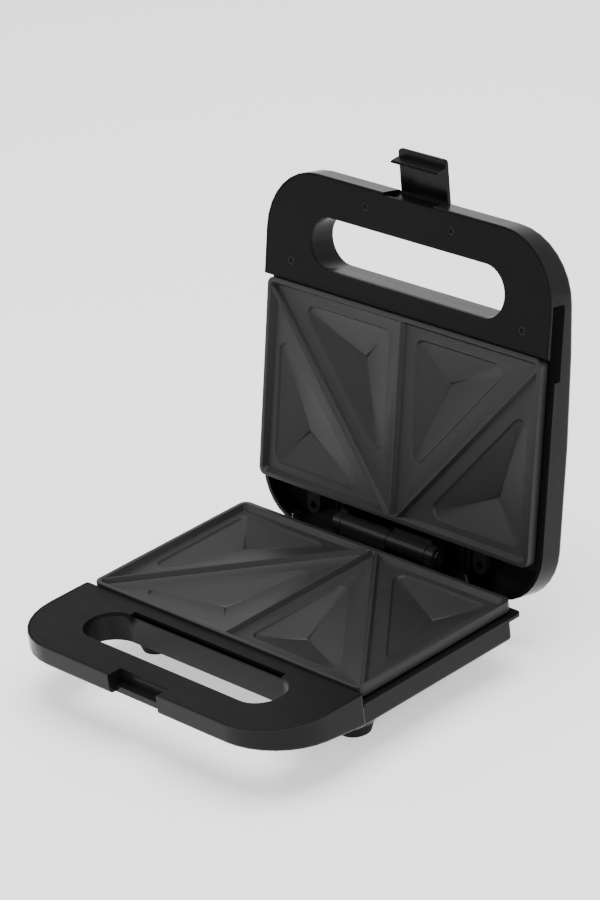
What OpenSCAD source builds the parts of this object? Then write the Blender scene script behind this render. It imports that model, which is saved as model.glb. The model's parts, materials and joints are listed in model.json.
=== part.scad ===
// Countertop sandwich toaster: a base and a hinged lid, each with a cast plate, a moulded shell and
// a loop handle, closed by a clip at the front of the lid.
// Sizes are millimetres. Each half is drawn from the joint plane outwards: y runs from the front
// edge of the plates to the back, and height is counted away from the plane where the plates meet.

/* [Cooking plates] */
// Width of each cooking plate
plate_w = 224; // [200:1:250]
// Depth of each cooking plate, front to back
plate_d = 125; // [115:1:145]
// Radius of the plates' plan corners
plate_r = 5; // [3:0.5:9]
// Height of the plates' outer edge
plate_edge = 6.3; // [5.5:0.1:8]
// Thickness of the casting under the pockets
plate_skin = 3; // [2.5:0.1:4]
// Width of the flat top of the plates' rim
rim_w = 2.6; // [2:0.1:4]
// Run of the slope inside the rim
rim_slope = 2.2; // [1:0.1:4]
// Depth of the pockets' lowest point below the rim
pocket_depth = 9.2; // [7.5:0.1:11]
// Distance from the front rim to the inner pockets
pocket_front = 11; // [9:0.5:14]
// Half of the land between the two inner pockets
pocket_mid = 11; // [9:0.5:14]
// Distance from the side rim to the outer pockets
pocket_side = 9.5; // [8:0.5:12]
// Distance from the back rim to the outer pockets
pocket_back = 9; // [8:0.5:12]
// Land between a diagonal ridge and the inner pocket
land_in = 13; // [11:0.5:16]
// Land between a diagonal ridge and the outer pocket
land_out = 10.5; // [9:0.5:13]
// Run and drop of the steep band round each pocket
pocket_band = 1.2; // [0.8:0.1:3]
// Radius of the pockets' corners at the rim
pocket_r = 6; // [4:0.5:9]
// Width of the sealing ridges at their foot
ridge_w = 4.6; // [3.5:0.1:6]
// Width of the sealing ridges at their crest
ridge_top = 1.2; // [0.8:0.1:2]
// Gap between the two rims when the lid is shut
rim_gap = 0.5; // [0.3:0.1:1]

/* [Handles and shells] */
// Distance from the plates to the front of the handles
reach = 70; // [62:1:80]
// Radius of the handles' front corners
front_r = 40.5; // [32:0.5:48]
// Distance from the plates' sides to the shells' sides
side_margin = 4.5; // [4:0.1:7]
// Wall thickness of the shells
wall = 2.4; // [2:0.1:3]
// Depth of the handle faces below the plates' rims
face_drop = 1.7; // [1.2:0.1:2.5]
// Depth of the shells' rims beside the plates, below the plates' rims
rim_drop = 8.2; // [7.5:0.1:10]
// Radius of the rounding on the lid's outer edges
edge_r = 4.5; // [3:0.5:6]
// Thickness of the handle faces
face_t = 2.4; // [2:0.1:3]
// Width of the shell's lip round a handle face
lip = 1.1; // [0.8:0.1:1.4]
// Clearance between a handle face and that lip
face_gap = 0.35; // [0.2:0.05:0.6]
// Length of the hand slots
slot_len = 159.4; // [140:1:170]
// Width of the hand slots, front to back
slot_w = 32; // [28:1:35]
// Distance from the plates to the middle of the hand slots
slot_back = 29.5; // [27:0.5:33]
// Distance that the base's handle face stands back behind its hand slot
setback = 4; // [3:0.5:5]
// Width of the latch notches
notch_w = 41; // [36:0.5:46]
// Depth of the latch notches
notch_d = 10.2; // [9.5:0.1:12]
// Depth of the shallow notch in the lid's handle face
lid_notch = 1.9; // [1.5:0.1:3]

/* [Lid] */
// Depth of the lid at the front of its handle
lid_front = 18; // [15:0.5:20]
// Depth of the lid over the plates
lid_deep = 25.8; // [24:0.2:28]
// Length of the lid behind the hinge
lid_tail = 15.3; // [14:0.1:17]
// Radius of the lid's rear corners
lid_rear_r = 34; // [28:1:40]
// Angle that the lid stands open
lid_open = 102.5; // [92:0.5:105]

/* [Base] */
// Depth of the base at the front of its handle
base_front = 13.5; // [11:0.5:15]
// Depth of the base's side walls
base_deep = 24.6; // [23:0.2:28]
// Depth of the base's floor pan
pan_deep = 38; // [36:0.5:42]
// Depth of the feet's soles
foot_deep = 45; // [44:0.5:52]
// Inset of the base's side walls from its rim
tuck = 3; // [2:0.5:4]
// Radius of the feet at the sole
foot_r = 9.5; // [7:0.5:10]
// Distance of the front feet from the middle
foot_x = 83.5; // [75:0.5:86]
// Radius of the rounding on the base's outer edges
base_edge_r = 2.5; // [1.5:0.5:4]
// Distance of the rear feet from the middle
rear_foot_x = 66; // [55:1:68]
// Half width of the box behind the floor pan
tail_x = 80; // [76:1:84]
// Length of the box behind the plates
tail_len = 21; // [20:1:24]

/* [Hinge and latch] */
// Distance from the plates to the hinge pin
hinge_back = 12; // [11.5:0.1:14]
// Height of the hinge pin above the joint plane
hinge_lift = 0.8; // [0:0.1:1.5]
// Outer radius of the hinge knuckles
knuckle_r = 6; // [5:0.1:6.2]
// Radius of the hinge pin
hinge_pin_r = 2.5; // [2:0.1:3]
// Half length of the row of knuckles
knuckle_row = 41.5; // [39:0.5:46]
// Length of the two short knuckles
short_knuckle = 6; // [5:0.5:8]
// Position of the joint between the two long knuckles
knuckle_split = 3; // [-4:0.5:6]
// Side gap between knuckles
knuckle_gap = 0.6; // [0.3:0.1:1]
// Radial clearance of the pins in the turning bores
run_fit = 0.06; // [0.02:0.01:0.1]
// Radial clearance of the pins in the fixed bores
set_fit = 0.03; // [0.02:0.01:0.05]
// Width of the latch
latch_w = 38; // [32:0.5:39]
// Thickness of the latch's arm
latch_t = 2.5; // [2:0.1:3]
// Offset of the arm's outer face from the latch pin
latch_off = 9.2; // [8.5:0.1:10]
// Length of the latch from its pin to its tip
latch_len = 31.4; // [29:0.1:34]
// Reach of the latch's hook
hook_reach = 7.3; // [6.5:0.1:8]
// Radius of the latch pin
latch_pin_r = 1.5; // [1.2:0.1:1.8]
// Distance of the latch pin from the front of the lid
latch_in = 6.5; // [6:0.1:7]
// Height of the latch pin above the joint plane
latch_lift = 9.4; // [8.5:0.1:10]
// Angle that the latch swings out from its locked place
latch_open = 80; // [60:1:90]

/* [Heating] */
// Radius of the heater tube
heater_r = 3.2; // [2.8:0.1:3.6]
// Radius of the heater's bend at the back
heater_bend = 8; // [7:0.5:9]
// Depth of the plate bosses' ends below the rim
boss_end = 13.7; // [13.4:0.1:14.5]
// Radius of the plate bosses
boss_r = 4.2; // [3.8:0.1:4.8]
// Radius of the screws' shanks
screw_r = 1.5; // [1.3:0.1:1.7]
// Depth of the heat shields below the rim
shield_at = 18; // [17.8:0.1:18.5]
// Thickness of the heat shields
shield_t = 0.8; // [0.6:0.1:1]
// Radius of the indicator lenses
lens_r = 4; // [3:0.5:5]

/* [Hidden] */
$fn = 64;
eps = 0.01;
hw = plate_w / 2 + side_margin;
px = plate_w / 2;
half_gap = rim_gap / 2;
plate_under = half_gap + plate_edge;
heater_aside = 5.5;
hinge_y = plate_d + hinge_back;
lid_rear = hinge_y + lid_tail;
base_wall_x = hw - tuck;
base_wall_y = plate_d - 3.5;
base_rim_y = plate_d + 2.5;
tail_y = plate_d + tail_len;
slope_end = 55;
lid_knee = lid_deep - 2.1;
base_knee = base_deep - 2.4;
land = rim_slope + 1;
face_in = lip + face_gap;
face_under = face_drop + face_t;
flange_top = rim_drop + 0.1;
flange_t = 2;
bulge_out = 2;
crease_len = 30;
slot_r = slot_w / 2;
notch_y = notch_d - reach;
latch_y = latch_in - reach;
ridge_front = [px - 1.2, 4.5];
ridge_back = [3, plate_d - 0.8];
ridge_run = norm(ridge_back - ridge_front);
ridge_dir = (ridge_back - ridge_front) / ridge_run;
ridge_side = [ridge_dir.y, -ridge_dir.x];
foot_front_y = 19.5;
foot_rear_y = plate_d + 7;
post_at = [[-px + 11, 12], [px - 11, 12], [0, plate_d - 29]];
face_screws = [[-94.5, -13], [94.5, -13], [-34.9, -58.5], [34.9, -58.5]];
lug_x = 69.5;
lug_y = hinge_y - 1.5;
stud_y = hinge_y - 8;
short_end = knuckle_row - short_knuckle;
pan_top_x = base_wall_x - 9;
pan_foot_x = foot_x + 6;
tail_top = base_deep - 3;
setback_y = -slot_back + slot_r + setback;
cord_x = -38;
cord_h = pan_deep - wall - 7;
foot_at = [
    [-foot_x, foot_front_y], [foot_x, foot_front_y],
    [-rear_foot_x, foot_rear_y], [rear_foot_x, foot_rear_y]
];
lamp_x = 10;
lamp_y = 12;

// Height of a half's outer face above the joint plane at a distance from the plates' front edge
function outer_h(y, front, knee, deep) =
    y < 0 ? knee + (knee - front) * y / reach
    : y < slope_end ? knee + (deep - knee) * y / slope_end : deep;
function lid_h(y) = outer_h(y, lid_front, lid_knee, lid_deep);
function base_h(y) = outer_h(y, base_front, base_knee, base_deep);
// Place on a plate where a line parallel to the diagonal ridge, s outside it, meets y or x
function ridge_x(y, s) = ridge_front.x + (s - ridge_side.y * (y - ridge_front.y)) / ridge_side.x;
function ridge_y(x, s) = ridge_front.y + (s - ridge_side.x * (x - ridge_front.x)) / ridge_side.y;
function inner_pocket(m, s) = [
    [pocket_mid - m, pocket_front - m],
    [ridge_x(pocket_front - m, s), pocket_front - m],
    [pocket_mid - m, ridge_y(pocket_mid - m, s)]
];
function outer_pocket(m, s) = [
    [px - pocket_side + m, plate_d - pocket_back + m],
    [ridge_x(plate_d - pocket_back + m, s), plate_d - pocket_back + m],
    [px - pocket_side + m, ridge_y(px - pocket_side + m, s)]
];
function incentre(t) =
    let (a = norm(t[1] - t[2]), b = norm(t[0] - t[2]), c = norm(t[0] - t[1]))
    (a * t[0] + b * t[1] + c * t[2]) / (a + b + c);
// Place of a point of the shut lid once the lid stands open
function open_y(y, h) = hinge_y + (y - hinge_y) * cos(lid_open) + (h - hinge_lift) * sin(lid_open);
// Place of a point of the locked latch in the shut lid once the latch is swung out
function swung(y, z) = [
    latch_y + y * cos(latch_open) + z * sin(latch_open),
    latch_lift - y * sin(latch_open) + z * cos(latch_open)
];
latch_tip = swung(-latch_off, -latch_len);
reach_back = max(
    open_y(latch_tip.x, latch_tip.y),
    open_y(edge_r - reach, lid_h(edge_r - reach) - edge_r) + edge_r
);
mid_y = (reach_back - reach) / 2;

// Whole object: soles on z = 0, box centred on the origin in plan
module in_row() {
    translate([0, -mid_y, foot_deep]) children();
}

// The base is drawn like the lid, height outwards, and turned over
module base_side() {
    in_row() mirror([0, 0, 1]) children();
}

module lid_side() {
    in_row() translate([0, hinge_y, hinge_lift]) rotate([-lid_open, 0, 0])
        translate([0, -hinge_y, -hinge_lift]) children();
}

module latch_side() {
    lid_side() translate([0, latch_y, latch_lift]) rotate([-latch_open, 0, 0]) children();
}

module both_sides() {
    children();
    mirror([1, 0, 0]) children();
}

// Plan outline with its own radius at the front and back corners
module plan(x, y0, y1, rf, rr) {
    translate([-x, y0 + rf]) square([2 * x, y1 - rr - y0 - rf]);
    translate([-x + rf, y0]) square([2 * (x - rf), rf + eps]);
    translate([-x + rr, y1 - rr - eps]) square([2 * (x - rr), rr + eps]);
    both_sides() {
        translate([x - rf, y0 + rf]) circle(rf);
        translate([x - rr, y1 - rr]) circle(rr);
    }
}

module slab(h0, h1) {
    translate([0, 0, h0]) linear_extrude(h1 - h0) children();
}

module stadium(r) {
    translate([-slot_len / 2 + slot_r, -slot_back - r]) square([slot_len - 2 * slot_r, 2 * r]);
    both_sides() translate([slot_len / 2 - slot_r, -slot_back]) circle(r);
}

// Side view of a half, in y and height, drawn across the whole width
module profile(points, x0 = -hw - 5, x1 = hw + 5) {
    translate([x0, 0, 0]) rotate([90, 0, 90]) linear_extrude(x1 - x0) polygon(points);
}

// Rounded mass of a half: vertical sides, rounded outer edges and a sloping handle
module mass(x, y0, y1, rf, rr, r, h0, front, knee, deep) {
    steps = 8;
    corners = concat(
        [for (i = [0:steps]) let (a = 180 + 90 * i / steps)
            [-x + rf + (rf - r) * cos(a), y0 + rf + (rf - r) * sin(a)]],
        [for (i = [0:steps]) let (a = 90 - 90 * i / steps)
            [x - rr + (rr - r) * cos(a), y1 - rr + (rr - r) * sin(a)]]
    );
    breaks = [for (y = [0, slope_end]) if (y > y0 + rf && y < y1 - rr) [x - r, y]];
    hull() both_sides() for (p = concat(corners, breaks)) {
        translate([p.x, p.y, outer_h(p.y, front, knee, deep) - r]) sphere(r, $fn = 32);
        translate([p.x, p.y, h0]) cylinder(r = r, h = eps, $fn = 32);
    }
}

// Cast plate
module pocket(t, band, r, h0, h1) {
    c = incentre(t);
    steps = 4;
    n = 3 * (steps + 1);
    rim = rounded(t, r, 0, steps);
    low = rounded(t, r, band, steps);
    polyhedron(
        points = concat(
            [for (p = rim) [p.x, p.y, h0]],
            [for (p = low) [p.x, p.y, h0 + band]],
            [[c.x, c.y, h1]]
        ),
        faces = concat(
            [[for (i = [0:n - 1]) i]],
            [for (i = [0:n - 1]) let (j = (i + 1) % n) [i, i + n, j + n, j]],
            [for (i = [0:n - 1]) let (j = (i + 1) % n) [i + n, 2 * n, j + n]]
        )
    );
}

// Outline of a triangle with corners of radius r, moved in by m
function rounded(t, r, m, steps) =
    let (
        s = cross(t[1] - t[0], t[2] - t[0]) < 0 ? [t[0], t[2], t[1]] : t,
        c = incentre(s),
        k = 1 - r / norm_in(s)
    )
    [for (i = [0:2])
        let (
            before = s[i] - s[(i + 2) % 3],
            after = s[(i + 1) % 3] - s[i],
            a0 = atan2(-before.x, before.y),
            turn = (atan2(-after.x, after.y) - a0 + 360) % 360
        )
        for (j = [0:steps])
            let (a = a0 + turn * j / steps)
            c + (s[i] - c) * k + (r - m) * [cos(a), sin(a)]
    ];

// Three tapering grooves that run from a pocket's lowest point towards its corners, as one star
module creases(t, h0, h1) {
    s = cross(t[1] - t[0], t[2] - t[0]) < 0 ? [t[0], t[2], t[1]] : t;
    c = incentre(s);
    away = [for (p = s) (p - c) / norm(p - c)];
    star = [for (i = [0:2])
        let (
            far = norm(s[i] - c) * (1 - pocket_r / norm_in(s)) + pocket_r - pocket_band,
            run = min(crease_len, 0.8 * far),
            tip = c + run * away[i],
            web = c - 2 * away[(i + 2) % 3]
        )
        each [[tip.x, tip.y, h1 - 0.3 - (h1 - h0 - pocket_band) * run / far], [web.x, web.y, h1 - 0.9]]
    ];
    polyhedron(
        points = concat(star, [[c.x, c.y, h1 + 0.7], [c.x, c.y, h1 - 3]]),
        faces = [for (i = [0:5]) let (j = (i + 1) % 6) each [[i, 6, j], [i, j, 7]]]
    );
}

// Radius of the circle inside a triangle
function norm_in(t) =
    let (a = norm(t[1] - t[2]), b = norm(t[0] - t[2]), c = norm(t[0] - t[1]))
    abs(cross(t[1] - t[0], t[2] - t[0])) / (a + b + c);

module ridge(p, q) {
    d = q - p;
    translate([p.x, p.y, 0]) rotate([0, 0, atan2(d.y, d.x)]) rotate([90, 0, 90])
        linear_extrude(norm(d)) polygon([
            [-ridge_top / 2, half_gap + 0.2], [ridge_top / 2, half_gap + 0.2],
            [ridge_w / 2, half_gap + land + 0.5], [-ridge_w / 2, half_gap + land + 0.5]
        ]);
}

module plate() {
    low = half_gap + land;
    difference() {
        union() {
            difference() {
                slab(half_gap, half_gap + plate_edge) plan(px, 0, plate_d, plate_r, plate_r);
                hull() {
                    slab(half_gap - 1, half_gap)
                        plan(px - rim_w, rim_w, plate_d - rim_w, plate_r - rim_w + 1, plate_r - rim_w + 1);
                    slab(low - eps, low)
                        plan(px - rim_w - rim_slope, rim_w + rim_slope, plate_d - rim_w - rim_slope, 1, 1);
                }
            }
            intersection() {
                slab(half_gap, plate_under) plan(px - 1, 1, plate_d - 1, plate_r - 1, plate_r - 1);
                union() {
                    both_sides() ridge(ridge_front, ridge_back);
                    ridge([0, 1], [0, plate_d - 1]);
                }
            }
            both_sides() {
                pocket(inner_pocket(bulge_out, bulge_out - land_in), pocket_band, pocket_r + bulge_out,
                    plate_under - eps, half_gap + pocket_depth + plate_skin);
                pocket(outer_pocket(bulge_out, land_out - bulge_out), pocket_band, pocket_r + bulge_out,
                    plate_under - eps, half_gap + pocket_depth + plate_skin);
            }
            for (p = post_at) translate([p.x, p.y, plate_under - 1])
                cylinder(r = boss_r, h = boss_end - plate_under + 1);
        }
        both_sides() {
            pocket(inner_pocket(0, -land_in), pocket_band, pocket_r, low - eps, half_gap + pocket_depth);
            pocket(outer_pocket(0, land_out), pocket_band, pocket_r, low - eps, half_gap + pocket_depth);
            creases(inner_pocket(0, -land_in), low - eps, half_gap + pocket_depth);
            creases(outer_pocket(0, land_out), low - eps, half_gap + pocket_depth);
        }
        for (p = post_at) translate([p.x, p.y, plate_under + 1])
            cylinder(r = screw_r + set_fit, h = boss_end);
    }
}

// Tube bent in a V that lies between the pockets, with a cold pin at each end. The bend is a little
// thinner than the legs and runs into them.
module heater() {
    at = plate_under + heater_r;
    into = 6;
    turn = atan2(ridge_side.y, ridge_side.x);
    centre_y = ridge_y(0, -heater_aside - heater_bend);
    start = [0, centre_y] + heater_bend * ridge_side;
    leg = (start.y - 22) / ridge_dir.y;
    pin_len = 7;
    translate([0, centre_y, at]) rotate([0, 0, turn - into])
        rotate_extrude(angle = 180 - 2 * (turn - into)) translate([heater_bend, 0]) circle(heater_r - 0.15);
    both_sides() translate([start.x, start.y, at]) rotate([0, 0, turn - 90]) rotate([0, 90, 0]) {
        cylinder(r = heater_r, h = leg);
        cylinder(r = heater_r / 2, h = leg + pin_len);
    }
}

// Saddles that hold the heater tube up against the plate
module heater_clips() {
    turn = atan2(ridge_side.y, ridge_side.x);
    clip_w = 10.4;
    clip_len = 8;
    sheet = 1;
    both_sides() for (y = [45, 85])
        translate([ridge_x(y, -heater_aside), y, plate_under]) rotate([0, 0, turn - 90]) difference() {
            union() {
                translate([-clip_len / 2, -clip_w / 2, 0]) cube([clip_len, clip_w, sheet]);
                translate([-clip_len / 2, -heater_r - sheet, 0])
                    cube([clip_len, 2 * (heater_r + sheet), 2 * heater_r + sheet]);
            }
            translate([-clip_len, 0, heater_r]) rotate([0, 90, 0])
                cylinder(r = heater_r + set_fit, h = 2 * clip_len);
            translate([-clip_len, -heater_r - set_fit, -1])
                cube([2 * clip_len, 2 * (heater_r + set_fit), heater_r + 1]);
        }
}

module heat_shield(post_gap) {
    difference() {
        slab(shield_at, shield_at + shield_t) plan(px - 10, 20, plate_d - 8, 6, 6);
        for (p = post_at) translate([p.x, p.y, 0]) cylinder(r = post_gap, h = 60);
    }
}

// Cross recess of a screw head, between two heights
module cross_cut(h0, h1, head_r) {
    arm = 1.3 * head_r;
    for (a = [45, 135]) rotate([0, 0, a]) translate([-arm / 2, -0.4, h0]) cube([arm, 0.8, h1 - h0]);
}

// Pan-head screw whose head's underside lies at h, with the shank running towards the joint plane
module screw(h, len, head_r = 2.9, head_t = 1.6) {
    difference() {
        translate([0, 0, h]) cylinder(r = head_r, h = head_t);
        cross_cut(h + 0.5, h + head_t + 1, head_r);
    }
    translate([0, 0, h - len]) cylinder(r = screw_r, h = len + eps);
}

// Screw driven the other way, from the joint plane into the shell
module face_screw(h, len, head_r, head_t) {
    difference() {
        translate([0, 0, h - head_t]) cylinder(r = head_r, h = head_t);
        cross_cut(h - head_t - 1, h - 0.4, head_r);
    }
    translate([0, 0, h - eps]) cylinder(r = screw_r, h = len);
}

module slot_cut(r) {
    slab(-1, 60) stadium(r);
}

module notch_cut(cut) {
    translate([-notch_w / 2, -reach - 5, -1]) cube([notch_w, cut + 5, 61]);
}

// Handle face with the wall that drops from it to the plate's surround
module face(fx, cut) {
    depth = flange_top + flange_t;
    difference() {
        union() {
            intersection() {
                slab(face_drop, face_under)
                    plan(hw - face_in, -reach + face_in, 20, front_r - face_in, 2);
                translate([-hw, -reach, 0]) cube([2 * hw, reach - 0.6, depth]);
            }
            translate([-fx, -2.4, face_under - eps]) cube([2 * fx, 1.8, depth - face_under + eps]);
        }
        slot_cut(slot_r);
        translate([0, 0, -1]) notch_cut(cut);
    }
}

// Side strips of a plate's surround, cut from the outline given
module surround(open_back) {
    inner_x = px - pocket_side + bulge_out + 0.8;
    slab(flange_top, flange_top + flange_t) difference() {
        children();
        translate([-inner_x, 5.5]) square([2 * inner_x, (open_back ? plate_d + 5 : plate_d - 3.5) - 5.5]);
    }
}

module knuckle(x0, x1, lift) {
    translate([x0, hinge_y, lift]) rotate([0, 90, 0]) cylinder(r = knuckle_r, h = x1 - x0);
}

module hinge_bore(lift, fit) {
    translate([-knuckle_row - 2, hinge_y, lift]) rotate([0, 90, 0])
        cylinder(r = hinge_pin_r + fit, h = 2 * knuckle_row + 4);
}

// Lid
module lid_hollow() {
    intersection() {
        slab(-1, lid_deep)
            plan(hw - wall, -reach + wall, lid_rear - wall, front_r - wall, lid_rear_r - wall);
        profile([
            [-reach - 5, -1], [lid_rear + 5, -1], [lid_rear + 5, lid_deep - wall],
            [slope_end, lid_deep - wall], [0, lid_knee - wall], [-reach - 5, lid_h(-reach - 5) - wall]
        ]);
    }
}

module lid_ribs() {
    rib = 1.6;
    for (p = face_screws) translate([p.x, p.y, face_under]) cylinder(r = 3.8, h = lid_deep);
    both_sides() {
        translate([lug_x, lug_y, flange_top + flange_t]) cylinder(r = 4.6, h = lid_deep);
        translate([60 - rib / 2, 22, shield_at + shield_t]) cube([rib, 90, lid_deep]);
        for (x = [knuckle_row + 8, knuckle_row + 13])
            translate([x, plate_d + 4, 12]) cube([rib, lid_tail + hinge_back - 4 - eps, lid_deep]);
    }
    slab(face_under, lid_deep) stadium(slot_r + wall - 0.4);
    translate([-notch_w / 2 - 4, -reach, face_under]) cube([notch_w + 8, notch_d + wall, lid_deep]);
}

module lid_web(x0, x1) {
    top = lid_deep - wall + 0.5;
    profile([
        [hinge_y - 8, hinge_lift + 0.7], [hinge_y - 5, hinge_lift + 0.7], [hinge_y, hinge_lift],
        [hinge_y + knuckle_r - 0.4, hinge_lift + 1], [hinge_y + knuckle_r + 1, top],
        [hinge_y - 8, top]
    ], x0, x1);
}

module lid_knuckles() {
    for (span = [[-knuckle_row, -short_end], [knuckle_split + knuckle_gap, short_end - knuckle_gap]]) {
        lid_web(span[0], span[1]);
        knuckle(span[0], span[1], hinge_lift);
    }
}

module lid_shell() {
    color("#141414") lid_side() difference() {
        union() {
            intersection() {
                mass(hw, -reach, lid_rear, front_r, lid_rear_r, edge_r, face_drop - 0.6,
                    lid_front, lid_knee, lid_deep);
                union() {
                    difference() {
                        translate([-hw, -reach, face_drop]) cube([2 * hw, reach + lid_rear, lid_deep]);
                        lid_hollow();
                    }
                    lid_ribs();
                }
            }
            lid_knuckles();
        }
        intersection() {
            slab(-1, face_under) plan(hw - lip, -reach + lip, 30, front_r - lip, 2);
            translate([-hw, -reach, -1]) cube([2 * hw, reach, 10]);
        }
        difference() {
            translate([-hw - 1, -0.6, -1]) cube([2 * hw + 2, lid_rear + 2, rim_drop + 1]);
            translate([-knuckle_row - 1, hinge_y - 9, -10]) cube([2 * knuckle_row + 2, 18, 30]);
        }
        hinge_bore(hinge_lift, run_fit);
        slot_cut(slot_r);
        notch_cut(notch_d);
        translate([-notch_w / 2 - 3.8, latch_y, latch_lift]) rotate([0, 90, 0])
            cylinder(r = latch_pin_r + set_fit, h = notch_w + 7.6);
        for (p = face_screws) translate([p.x, p.y, face_under - 1]) cylinder(r = screw_r + set_fit, h = 10);
        both_sides() {
            translate([lug_x, lug_y, 0]) cylinder(r = screw_r + set_fit, h = flange_top + flange_t + 8);
            translate([lamp_x, lamp_y, 15]) cylinder(r = lens_r + set_fit, h = 20);
        }
    }
}

module lid_frame() {
    fx = hw - wall - 0.3;
    color("#1c1c1c") lid_side() difference() {
        union() {
            face(fx, lid_notch);
            surround(false) intersection() {
                plan(fx, -2.4, lid_rear - wall - 0.3, 0.5, lid_rear_r - wall - 0.3);
                translate([-fx, -3]) square([2 * fx, plate_d + 6]);
            }
            for (p = post_at) if (p.y < plate_d / 2)
                translate([p.x - 6, -2.4, boss_end]) cube([12, p.y + 7.4, 2]);
            for (p = post_at) if (p.y < plate_d / 2)
                translate([p.x - 6, -2.4, flange_top]) cube([12, 1.8, boss_end + 2 - flange_top]);
            translate([-7, plate_d - 34, boss_end]) cube([14, 37, 2]);
            translate([-7, plate_d + 1.2, flange_top]) cube([14, 1.8, boss_end + 2 - flange_top]);
            both_sides() {
                translate([lug_x, lug_y, flange_top - 2]) cylinder(r = 5.4, h = flange_t + 2);
                translate([lug_x - 5.4, plate_d + 2, flange_top - 2])
                    cube([10.8, lug_y - plate_d - 2, flange_t + 2]);
            }
        }
        for (p = face_screws) translate([p.x, p.y, 0]) {
            cylinder(r = screw_r + 0.2, h = 10);
            cylinder(r = 3.1, h = face_drop + 1.3);
        }
        for (p = post_at) translate([p.x, p.y, boss_end - 1]) cylinder(r = screw_r + 0.2, h = 5);
        both_sides() translate([lug_x, lug_y, 0]) {
            cylinder(r = screw_r + 0.2, h = 20);
            cylinder(r = 2.3, h = flange_top + 0.5);
        }
    }
}

module lid_plate() {
    color("#2b2b2d") lid_side() plate();
}

module lid_heater() {
    color("#8a8f94") lid_side() heater();
}

module lid_heater_clips() {
    color("#b9bcc0") lid_side() heater_clips();
}

module lid_heat_shield() {
    color("#c9ccd0") lid_side() heat_shield(5);
}

module lid_plate_screws() {
    color("#a0a4a8") lid_side() for (p = post_at) translate([p.x, p.y, 0]) screw(boss_end + 2, 7);
}

module lid_frame_screws() {
    color("#555555") lid_side() {
        for (p = face_screws) translate([p.x, p.y, 0]) face_screw(face_drop + 1.3, 10, 2.9, 1.2);
        both_sides() translate([lug_x, lug_y, 0]) face_screw(flange_top + 0.5, 9, 2.2, 1.2);
    }
}

module lens() {
    seat = lid_h(lamp_y);
    translate([lamp_x, lamp_y, 0]) difference() {
        union() {
            translate([0, 0, seat - wall - 4]) cylinder(r = lens_r, h = wall + 4);
            translate([0, 0, seat]) intersection() {
                translate([0, 0, -lens_r * 1.2]) sphere(lens_r * 1.6);
                cylinder(r = lens_r, h = lens_r);
            }
        }
        translate([0, 0, seat - wall - 5]) cylinder(r = 2.6, h = wall + 3);
    }
}

module power_lens() {
    color("#b01818") lid_side() lens();
}

module ready_lens() {
    color("#1e8a34") lid_side() mirror([1, 0, 0]) lens();
}

module lamp_bulbs() {
    color("#e8e0d0") lid_side() both_sides()
        translate([lamp_x, lamp_y, lid_h(lamp_y) - wall - 9]) cylinder(r = 2.5, h = 9);
}

module latch_pin() {
    color("#c0c4c8") lid_side() translate([-notch_w / 2 - 3.6, latch_y, latch_lift]) rotate([0, 90, 0])
        cylinder(r = latch_pin_r, h = notch_w + 7.2);
}

// Latch, drawn hooked under the base with its pin on the x axis
module latch() {
    barrel_r = 3.4;
    hook_at = latch_lift + base_h(notch_y - 2) + 0.5;
    arm_y = -latch_off + latch_t;
    tip_r = 2.5;
    color("#101010") latch_side() difference() {
        union() {
            rotate([0, 90, 0]) translate([0, 0, -latch_w / 2]) cylinder(r = barrel_r, h = latch_w);
            intersection() {
                profile([
                    [0, barrel_r], [-latch_off + 2.5, barrel_r], [-latch_off, barrel_r - 2.5],
                    [-latch_off, -latch_len + 0.6], [-latch_off + 0.6, -latch_len],
                    [arm_y - 0.4, -latch_len], [arm_y, -latch_len + 0.4],
                    [arm_y, -hook_at - 2.2], [arm_y + hook_reach - 1, -hook_at - 1.4],
                    [arm_y + hook_reach, -hook_at - 0.6], [arm_y + hook_reach - 0.4, -hook_at],
                    [arm_y, -hook_at], [arm_y, -barrel_r - 1.5], [arm_y + 1.5, -barrel_r], [0, -barrel_r]
                ]);
                translate([0, 20, 0]) rotate([90, 0, 0]) linear_extrude(60) {
                    translate([-latch_w / 2, tip_r - latch_len]) square([latch_w, latch_len + 5]);
                    translate([tip_r - latch_w / 2, -latch_len]) square([latch_w - 2 * tip_r, tip_r + 1]);
                    both_sides() translate([latch_w / 2 - tip_r, tip_r - latch_len]) circle(tip_r);
                }
            }
        }
        rotate([0, 90, 0]) translate([0, 0, -latch_w]) cylinder(r = latch_pin_r + run_fit, h = 2 * latch_w);
    }
}

// Base
module base_hollow() {
    intersection() {
        slab(-1, base_deep) plan(hw - wall, -reach + wall, -wall, front_r - wall, 1);
        profile([
            [-reach - 5, -1], [5, -1], [5, base_knee - wall], [0, base_knee - wall],
            [-reach - 5, base_h(-reach - 5) - wall]
        ]);
    }
    slab(-1, base_knee - wall) plan(base_wall_x - wall, -wall - 1, base_wall_y - wall, 1, 2);
    hull() {
        slab(base_knee - wall - 1, base_knee - wall) plan(pan_top_x - wall, -0.6, plate_d - 9.4, 3, 3);
        slab(pan_deep - wall - eps, pan_deep - wall)
            plan(pan_foot_x - wall, 10 + wall, plate_d - 15 - wall, 3, 3);
    }
    slab(tail_top + wall, pan_deep - wall) plan(tail_x - wall, plate_d - 20, tail_y - wall, 2, 4);
}

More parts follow.
